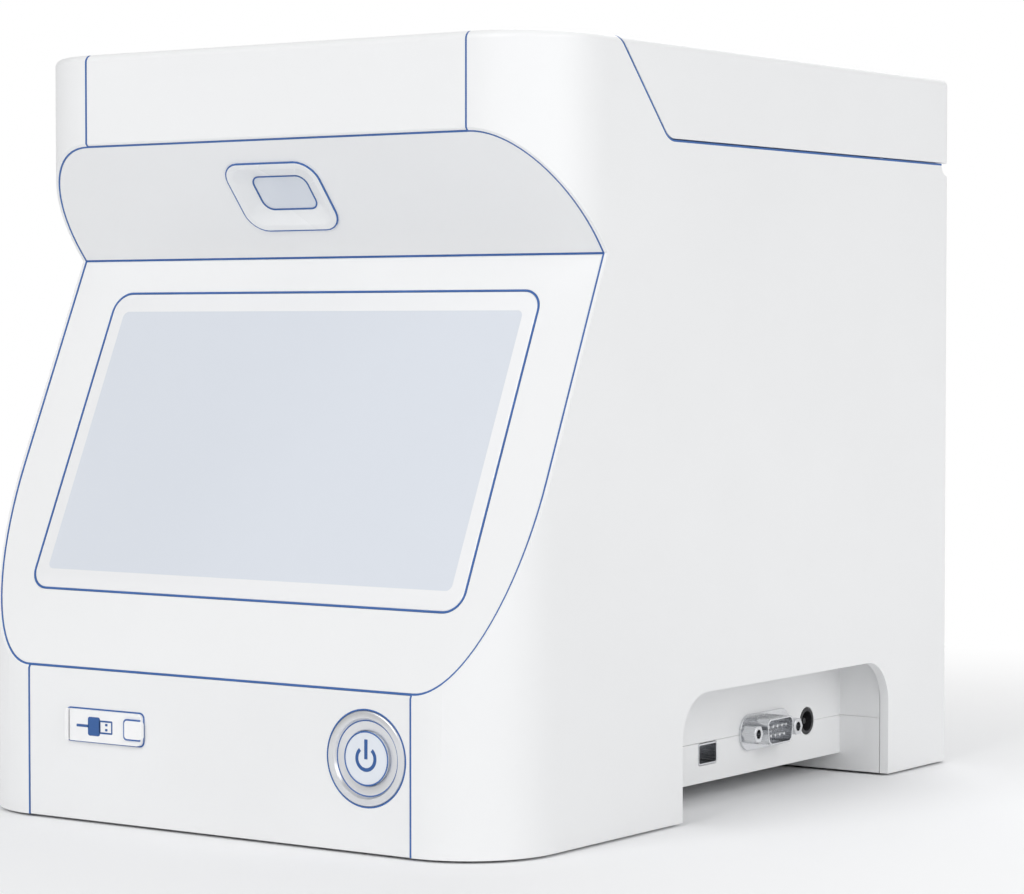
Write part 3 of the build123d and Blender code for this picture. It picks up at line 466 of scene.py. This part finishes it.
def tinted_glass():
    """The scanner's window: pale glass with a coated back."""
    material, tree, main, vector = shader("scanner_glass")
    tint = noise(tree, vector, 70, 2)
    tree.links.new(
        blended(tree, ranged(tree, tint, 0, 1), (0.74, 0.78, 0.84), (0.70, 0.74, 0.81)),
        main.inputs["Base Color"],
    )
    tree.links.new(ranged(tree, tint, 0.06, 0.12), main.inputs["Roughness"])
    main.inputs["Coat Weight"].default_value = 0.5
    return material


cover_white = moulded("cover_plastic", (0.90, 0.905, 0.91))
trim_white = moulded("scanner_trim", (0.88, 0.89, 0.90), roughness=0.3, depth=0.008 * mm)
inner_grey = moulded("inner_plastic", (0.66, 0.69, 0.74), roughness=0.5)
dark = moulded("dark_plastic", (0.045, 0.048, 0.055), roughness=0.5)
socket_black = moulded("socket_plastic", (0.03, 0.03, 0.033), roughness=0.4)
cap_pale = moulded("cap_plastic", (0.80, 0.84, 0.90), roughness=0.3, depth=0.006 * mm)
seal_blue = rubber("seal_rubber", (0.030, 0.115, 0.36), roughness=0.5)
ink_blue = moulded("blue_ink", (0.026, 0.105, 0.33), roughness=0.4, grain=4000, depth=0.005 * mm)
cover_soft = rubber("cover_rubber", (0.88, 0.885, 0.895))
foot_black = rubber("foot_rubber", (0.025, 0.025, 0.028), roughness=0.7)
aluminium = metal("machined_aluminium", (0.80, 0.81, 0.83), roughness=0.32)
ring_satin = metal("button_metal", (0.86, 0.87, 0.89), roughness=0.36, stretch=(1, 1, 1))
sheet_steel = metal("sheet_steel", (0.62, 0.64, 0.67), roughness=0.34)
bright_steel = metal("bright_steel", (0.72, 0.73, 0.75), roughness=0.22)
board_green = circuit("circuit_board", (0.03, 0.20, 0.11))
tile = moulded("ceramic_tile", (0.82, 0.82, 0.79), roughness=0.6)
clear = tinted_glass()

slot_finish = {
    "cover_plastic": cover_white,
    "seal_rubber": seal_blue,
    "inner_plastic": inner_grey,
    "dark_plastic": dark,
    "machined_aluminium": aluminium,
    "sheet_steel": sheet_steel,
    "bright_steel": bright_steel,
    "button_metal": ring_satin,
    "button_face": cap_pale,
    "display_face": cap_pale,
    "printed_glass": clear,
    "clear_glass": clear,
    "scanner_trim": trim_white,
    "circuit_board": board_green,
    "ceramic_tile": tile,
    "cover_rubber": cover_soft,
    "foot_rubber": foot_black,
    "socket_plastic": socket_black,
}
node_slot = {part["node"]: part["material_slot"] for part in frame["record"]["subparts"]}
node_body = {
    name: body for body, names in frame["record"]["behaviour"]["bodies"].items() for name in names
}

for name, node in nodes.items():
    node.data.materials.clear()
    node.data.materials.append(slot_finish[node_slot[name]])


# Frame pieces with their edges rounded, as a mould or a file leaves them
def softened(name, width, segments=2, flatten=True):
    """A merged copy of a frame piece with rounded edges, which stands for it.

    Its flat faces are made whole first, unless the piece is curved all over.
    """
    mesh = nodes[name].data.copy()
    piece = bpy.data.objects.new(name + "_finished", mesh)
    bpy.context.scene.collection.objects.link(piece)
    edit(piece)
    bpy.ops.mesh.select_all(action="SELECT")
    bpy.ops.mesh.remove_doubles(threshold=2e-6)
    if flatten:
        bpy.ops.mesh.dissolve_limited(angle_limit=radians(0.5))
    close_edit()
    round_edges(piece, width, segments, 32)
    slot = node_slot[name]
    return settle(piece, name + "_finished", slot_finish[slot], node_body[name], [name])


# The display's glass
def front_glass():
    glass = slab(glass_width, glass_height, glass_corner, -glass_wall, 0, segments=10)
    pick_edges(glass, lambda a, b: a.z > -1e-6 and b.z > -1e-6)
    bpy.ops.mesh.bevel(offset=glass_edge_round, segments=3, affect="EDGES")
    close_edit()
    smooth(glass)
    place(glass, screen_centre, screen_turn)
    settle(glass, "front_glass", display_glass(), "housing", ["touch_glass"])


# The blue lines round the scanner and its window
def scanner_lines():
    outer = frame_line(
        scanner_width + 2 * line_width, scanner_height + 2 * line_width, scanner_corner + line_width,
        line_width, -line_rise, proud_line_rise,
    )
    place(outer, scanner_centre, scanner_turn)
    settle(outer, "scanner_line", seal_blue, "housing")
    inner = frame_line(
        window_width + line_width, window_height + line_width, window_corner,
        line_width, -line_rise, line_rise,
    )
    sunk = Vector((0, cos(brow_lean), sin(brow_lean))) * (window_sink - line_rise)
    place(inner, scanner_centre + sunk, scanner_turn)
    settle(inner, "window_line", seal_blue, "housing")


# The blue lines round the data port's cover and its finger tab
def port_lines():
    low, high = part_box("port_cover")
    middle_height = (low.z + high.z) / 2
    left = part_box("cover_anchor")[0].x
    right = high.x - tab_overhang
    grown = 2 * line_width
    port = frame_line(
        right - left + grown, high.z - low.z + grown, port_line_corner,
        line_width, -line_rise, line_rise,
    )
    place(port, ((left + right) / 2, front, middle_height), (pi / 2, 0, 0))
    settle(port, "port_line", seal_blue, "housing")
    tab = frame_line(
        tab_width + grown, tab_height + grown, tab_line_corner,
        line_width, -line_rise, proud_line_rise,
    )
    pick_faces(tab, lambda centre, normal: centre.x > tab_width / 2 - tab_overhang)
    bpy.ops.mesh.delete(type="FACE")
    close_edit()
    close_holes(tab)
    place(tab, (high.x - tab_width / 2, front - cover_proud, middle_height), (pi / 2, 0, 0))
    settle(tab, "tab_line", seal_blue, "port_cover")


# The power button
def ring_line(name, radius, face, body="housing"):
    """A thin blue ring on the button's axis."""
    half = line_width / 2
    piece = turned([
        (radius - half, 0),
        (radius - half / 2, line_rise),
        (radius + half / 2, line_rise),
        (radius + half, 0),
        (radius + half / 2, -line_rise),
        (radius - half / 2, -line_rise),
        (radius - half, 0),
    ])
    smooth(piece, 60)
    place(piece, (button_centre.x, face, button_centre.z), (pi / 2, 0, 0))
    settle(piece, name, seal_blue, body)


def power_button():
    """The ring, turned with a soft lip and a dish, and the blue lines round it."""
    lip = dish_lip
    inner = cap_radius + cap_gap
    ring = turned([
        (inner, -ring_neck_depth),
        (inner, -dish_depth),
        (inner + lip, -dish_depth + lip / 2),
        (dish_radius - 2 * lip, -dish_depth),
        (dish_radius - lip, -dish_depth + lip),
        (dish_radius, -lip),
        (dish_radius + lip, 0),
        (ring_radius - 2 * lip, 0),
        (ring_radius - lip, -lip / 2),
        (ring_radius, -2 * lip),
        (ring_radius, -ring_flange_wall),
        (ring_neck_radius, -ring_flange_wall),
        (ring_neck_radius, -ring_neck_depth),
        (inner, -ring_neck_depth),
    ])
    smooth(ring, 40)
    place(ring, (button_centre.x, button_face, button_centre.z), (pi / 2, 0, 0))
    settle(ring, "button_ring", ring_satin, "housing", ["button_bezel"])
    ring_line("ring_outer_line", ring_radius + line_width / 2, front)
    ring_line("ring_dish_line", dish_radius - 2 * lip, button_face + dish_depth)
    ring_line("cap_line", cap_radius - line_width / 2 + 0.1 * mm, front, "power_button")


def power_cap():
    """The cap, faintly domed, with its stem."""
    cap = turned([
        (pinhole, cap_dome),
        (2.5 * mm, cap_dome * 0.95),
        (5.0 * mm, cap_dome * 0.7),
        (6.8 * mm, cap_dome * 0.25),
        (7.25 * mm, 0),
        (cap_radius - 0.1 * mm, -0.15 * mm),
        (cap_radius, -0.5 * mm),
        (cap_radius, -cap_depth),
        (stem_radius, -cap_depth),
        (stem_radius, -stem_foot),
        (pinhole, -stem_foot),
    ])
    smooth(cap, 40)
    place(cap, button_centre, (pi / 2, 0, 0))
    settle(cap, "power_cap", cap_pale, "power_button", ["button_cap"])


def power_symbol():
    """The standby sign on the cap: a broken ring and a bar."""
    ring_outer, ring_inner = 3.7 * mm, 2.65 * mm
    gap = radians(38)
    bar_width, bar_corner = 1.15 * mm, 0.2 * mm
    bar_top, bar_low = 5.4 * mm, -0.2 * mm
    face, rise = 0.02 * mm, 0.16 * mm
    bpy.ops.mesh.primitive_circle_add(vertices=72, radius=ring_outer, location=(0, 0, face))
    arc = bpy.context.object
    pick_edges(arc, lambda a, b: atan2(abs(a.x + b.x), a.y + b.y) > gap)
    bpy.ops.mesh.select_all(action="INVERT")
    bpy.ops.mesh.delete(type="EDGE")
    bpy.ops.mesh.select_all(action="SELECT")
    bpy.ops.mesh.extrude_edges_move()
    share = ring_inner / ring_outer
    bpy.ops.transform.resize(value=(share, share, 1), center_override=(0, 0, face))
    bpy.ops.mesh.select_all(action="SELECT")
    bpy.ops.mesh.extrude_region_move(TRANSFORM_OT_translate={"value": (0, 0, rise - face)})
    close_edit()
    outward(arc)
    bar = slab(bar_width, bar_top - bar_low, bar_corner, face, rise)
    bar.location = (0, (bar_top + bar_low) / 2, 0)
    only(bar)
    bpy.ops.object.transform_apply(location=True, rotation=False, scale=False)
    sign = join([arc, bar])
    smooth(sign)
    place(sign, button_centre, (pi / 2, 0, 0))
    settle(sign, "standby_sign", ink_blue, "power_button")


# A plain picture of a plug on the data port's cover
def port_sign():
    sign_start = 5.0 * mm
    rise = 0.06 * mm
    lead_length, lead_wall, lead_corner, lead_middle = 4.8 * mm, 0.8 * mm, 0.2 * mm, 2.4 * mm
    grip_length, grip_height, grip_corner, grip_middle = 4.8 * mm, 5.6 * mm, 0.8 * mm, 6.9 * mm
    shell_length, shell_height, shell_corner, shell_middle = 5.2 * mm, 4.0 * mm, 0.4 * mm, 11.6 * mm
    shell_wall = 0.5 * mm
    contact_length, contact_height, contact_corner = 0.9 * mm, 0.7 * mm, 0.1 * mm
    contact_middle, contact_spread = 11.8 * mm, 0.75 * mm

    low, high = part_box("port_cover")
    face = front - cover_proud
    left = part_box("cover_anchor")[0].x + sign_start
    shell = frame_line(shell_length, shell_height, shell_corner, shell_wall, -rise, rise)
    shell.location = (shell_middle, 0, 0)
    grip = slab(grip_length, grip_height, grip_corner, -rise, rise)
    grip.location = (grip_middle, 0, 0)
    lead = slab(lead_length, lead_wall, lead_corner, -rise, rise)
    lead.location = (lead_middle, 0, 0)
    contacts = []
    for side in (-1, 1):
        contact = slab(contact_length, contact_height, contact_corner, -rise, rise)
        contact.location = (contact_middle, side * contact_spread, 0)
        contacts.append(contact)
    sign = join([shell, grip, lead, *contacts])
    only(sign)
    bpy.ops.object.transform_apply(location=True, rotation=True, scale=True)
    smooth(sign)
    place(sign, (left, face, (low.z + high.z) / 2), (pi / 2, 0, 0))
    settle(sign, "port_sign", ink_blue, "port_cover")


# Springs
def coil(radius, wire, length, turns):
    """An upright coil spring, from the ground up."""
    bpy.ops.mesh.primitive_circle_add(
        vertices=10, radius=wire, rotation=(pi / 2, 0, 0), location=(radius, 0, 0)
    )
    piece = bpy.context.object
    bpy.ops.object.transform_apply(location=True, rotation=True, scale=True)
    wind = piece.modifiers.new("wind", "SCREW")
    wind.angle = 2 * pi
    wind.iterations = turns
    wind.screw_offset = (length - 2 * wire) / turns
    wind.steps = wind.render_steps = 24
    bpy.ops.object.modifier_apply(modifier="wind")
    piece.location = (0, 0, wire)
    bpy.ops.object.transform_apply(location=True, rotation=True, scale=True)
    bpy.context.tool_settings.mesh_select_mode = (False, True, False)
    edit(piece)
    bpy.ops.mesh.select_non_manifold()
    bpy.ops.mesh.edge_face_add()
    close_edit()
    outward(piece)
    smooth(piece, 60)
    return piece


def plate_springs():
    """The four springs round the plate's pins."""
    low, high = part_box("plate_springs")
    radius = 2.9 * mm
    wire = 0.3 * mm
    coils = []
    for x in (low.x + radius, high.x - radius):
        for y in (low.y + radius, high.y - radius):
            piece = coil(radius - wire, wire, high.z - low.z, 6)
            piece.location = (x, y, low.z)
            coils.append(piece)
    springs = join(coils)
    only(springs)
    bpy.ops.object.transform_apply(location=True, rotation=True, scale=True)
    springs.name = springs.data.name = "plate_coils"
    springs.data.materials.clear()
    springs.data.materials.append(bright_steel)
    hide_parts("plate_springs")
    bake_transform(springs)


def button_spring():
    low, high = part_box("button_spring")
    wire = 0.35 * mm
    piece = coil((high.x - low.x) / 2 - wire, wire, high.y - low.y, 3)
    place(piece, ((low.x + high.x) / 2, low.y, (low.z + high.z) / 2), (-pi / 2, 0, 0))
    settle(piece, "button_coil", bright_steel, "power_button", ["button_spring"])


# Screws
def cross_screw(head_radius, head_height, shank_radius, length):
    """A pan-head screw with a cross recess, its head up and its seat at the ground."""
    screw = turned([
        (pinhole, head_height),
        (head_radius * 0.5, head_height * 0.97),
        (head_radius * 0.85, head_height * 0.75),
        (head_radius, head_height * 0.3),
        (head_radius, 0),
        (shank_radius, 0),
        (shank_radius, -length),
        (pinhole, -length),
    ], vertices=32)
    for turn in (0, pi / 2):
        bpy.ops.mesh.primitive_cube_add(size=1, location=(0, 0, head_height))
        cutter = bpy.context.object
        cutter.scale = (head_radius * 1.1, head_radius * 0.26, head_height * 1.1)
        cutter.rotation_euler = (0, 0, turn)
        only(cutter)
        bpy.ops.object.transform_apply(location=True, rotation=True, scale=True)
        only(screw)
        cut = screw.modifiers.new("cut", "BOOLEAN")
        cut.object = cutter
        cut.solver = "EXACT"
        bpy.ops.object.modifier_apply(modifier="cut")
        bpy.data.objects.remove(cutter)
    smooth(screw, 35)
    return screw


def screw_set(name, node, places, turn, body):
    """Copies of one screw at each place, which stand for a frame piece."""
    screws = []
    for location in places:
        piece = cross_screw(screw_head_radius, screw_head_height, screw_shank_radius, screw_length)
        place(piece, location, turn)
        screws.append(piece)
    settle(join(screws), name, bright_steel, body, [node])


def corners(node, inset):
    """The four upright axes of screws at the corners of a node's box."""
    low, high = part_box(node)
    return [(x, y) for x in (low.x + inset, high.x - inset) for y in (low.y + inset, high.y - inset)]


def all_screws():
    """The screws of the deck, of the lid's liner and of the rear cover, each set on its seats."""
    inset = screw_head_radius
    low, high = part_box("deck_screws")
    places = [(x, y, high.z - screw_head_height) for x, y in corners("deck_screws", inset)]
    screw_set("deck_cross_screws", "deck_screws", places, (0, 0, 0), "housing")
    low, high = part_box("liner_screws")
    places = [(x, y, low.z + screw_head_height) for x, y in corners("liner_screws", inset)]
    screw_set("liner_cross_screws", "liner_screws", places, (pi, 0, 0), "lid")
    low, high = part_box("rear_screws")
    heights = (low.z + inset, cad_box[1][2] / 2, high.z - inset)
    places = [(x, high.y - screw_head_height, z) for x in (low.x + inset, high.x - inset) for z in heights]
    screw_set("rear_cross_screws", "rear_screws", places, (-pi / 2, 0, 0), "housing")


# The studio
def floor():
    """A plain pale floor that fades to the white of the backdrop away from the machine."""
    fade_start, fade_end = 0.16, 0.5
    bpy.ops.mesh.primitive_plane_add(size=24, location=(0, 0, 0))
    ground = bpy.context.object
    ground.name = "floor"
    material = bpy.data.materials.new("floor")
    material.use_nodes = True
    tree = material.node_tree
    tree.nodes.clear()
    output = tree.nodes.new("ShaderNodeOutputMaterial")
    matt = tree.nodes.new("ShaderNodeBsdfDiffuse")
    matt.inputs["Color"].default_value = (0.93, 0.935, 0.945, 1)
    white = tree.nodes.new("ShaderNodeEmission")
    path = tree.nodes.new("ShaderNodeLightPath")
    place_on = tree.nodes.new("ShaderNodeTexCoord")
    away = tree.nodes.new("ShaderNodeVectorMath")
    away.operation = "LENGTH"
    tree.links.new(place_on.outputs["Object"], away.inputs[0])
    fade = ranged(tree, away.outputs["Value"], 0, 1, (fade_start, fade_end))
    seen = tree.nodes.new("ShaderNodeMath")
    seen.operation = "MAXIMUM"
    tree.links.new(path.outputs["Is Camera Ray"], seen.inputs[0])
    tree.links.new(path.outputs["Is Glossy Ray"], seen.inputs[1])
    share = tree.nodes.new("ShaderNodeMath")
    share.operation = "MULTIPLY"
    tree.links.new(fade, share.inputs[0])
    tree.links.new(seen.outputs["Value"], share.inputs[1])
    mix = tree.nodes.new("ShaderNodeMixShader")
    tree.links.new(share.outputs["Value"], mix.inputs["Fac"])
    tree.links.new(matt.outputs["BSDF"], mix.inputs[1])
    tree.links.new(white.outputs["Emission"], mix.inputs[2])
    tree.links.new(mix.outputs["Shader"], output.inputs["Surface"])
    ground.data.materials.append(material)


def backdrop(level):
    """White where it is seen, and an even sky where it lights."""
    world = bpy.data.worlds.new("studio")
    bpy.context.scene.world = world
    world.use_nodes = True
    tree = world.node_tree
    tree.nodes.clear()
    output = tree.nodes.new("ShaderNodeOutputWorld")
    lit = tree.nodes.new("ShaderNodeBackground")
    lit.inputs["Strength"].default_value = level
    seen = tree.nodes.new("ShaderNodeBackground")
    path = tree.nodes.new("ShaderNodeLightPath")
    for background in (lit, seen):
        background.inputs["Color"].default_value = (1, 1, 1, 1)
    mix = tree.nodes.new("ShaderNodeMixShader")
    tree.links.new(path.outputs["Is Camera Ray"], mix.inputs["Fac"])
    tree.links.new(lit.outputs["Background"], mix.inputs[1])
    tree.links.new(seen.outputs["Background"], mix.inputs[2])
    tree.links.new(mix.outputs["Shader"], output.inputs["Surface"])


def lamp(name, location, size, power, target=(0, 0, 0.11)):
    """A square soft lamp turned to the middle of the machine."""
    bpy.ops.object.light_add(type="AREA", location=location)
    light = bpy.context.object
    light.name = name
    light.data.size = size
    light.data.energy = power
    direction = Vector(target) - Vector(location)
    light.rotation_euler = direction.to_track_quat("-Z", "Y").to_euler()


def camera():
    """The camera at the picture's place and angle."""
    bpy.ops.object.camera_add(
        location=(0.59971, -0.84216, 0.14754), rotation=(radians(87.87), 0, radians(34.85))
    )
    view = bpy.context.object
    view.data.sensor_width = 36
    view.data.lens = 112.9
    bpy.context.scene.camera = view


camera()
floor()
backdrop(0.50)
lamp("key", (-0.1, -2.4, 1.9), 1.4, 29)
lamp("fill", (2.0, -0.4, 1.1), 1.4, 14)
lamp("back", (-0.6, 1.9, 1.9), 1.4, 17)
bpy.context.scene.view_settings.view_transform = "Standard"

for cover in (
    "left_side_shell", "right_side_shell", "forehead_panel", "brow_panel", "screen_fascia",
    "lower_front_panel", "rear_panel", "lid_shell", "base_tray", "recess_pocket",
):
    softened(cover, 0.3 * mm)
for trim in (
    "port_cover", "cover_anchor", "lid_liner", "top_deck", "press_plate", "well_block",
    "block_collar", "fan_housing", "optics_module", "rubber_feet",
):
    softened(trim, 0.2 * mm)
softened("scanner_bezel", 0.1 * mm, 1, flatten=False)
for fine in (
    "guide_pins", "catch_pins", "catch_magnets", "hinge_leaf_body", "hinge_leaf_lid", "hinge_pin",
    "serial_port", "jackscrews", "power_jack", "side_port", "data_port", "fan_rotor", "button_nut",
    "button_switch",
):
    softened(fine, 0.08 * mm, 1)

front_glass()
scanner_lines()
port_lines()
power_button()
power_cap()
power_symbol()
port_sign()
plate_springs()
button_spring()
all_screws()
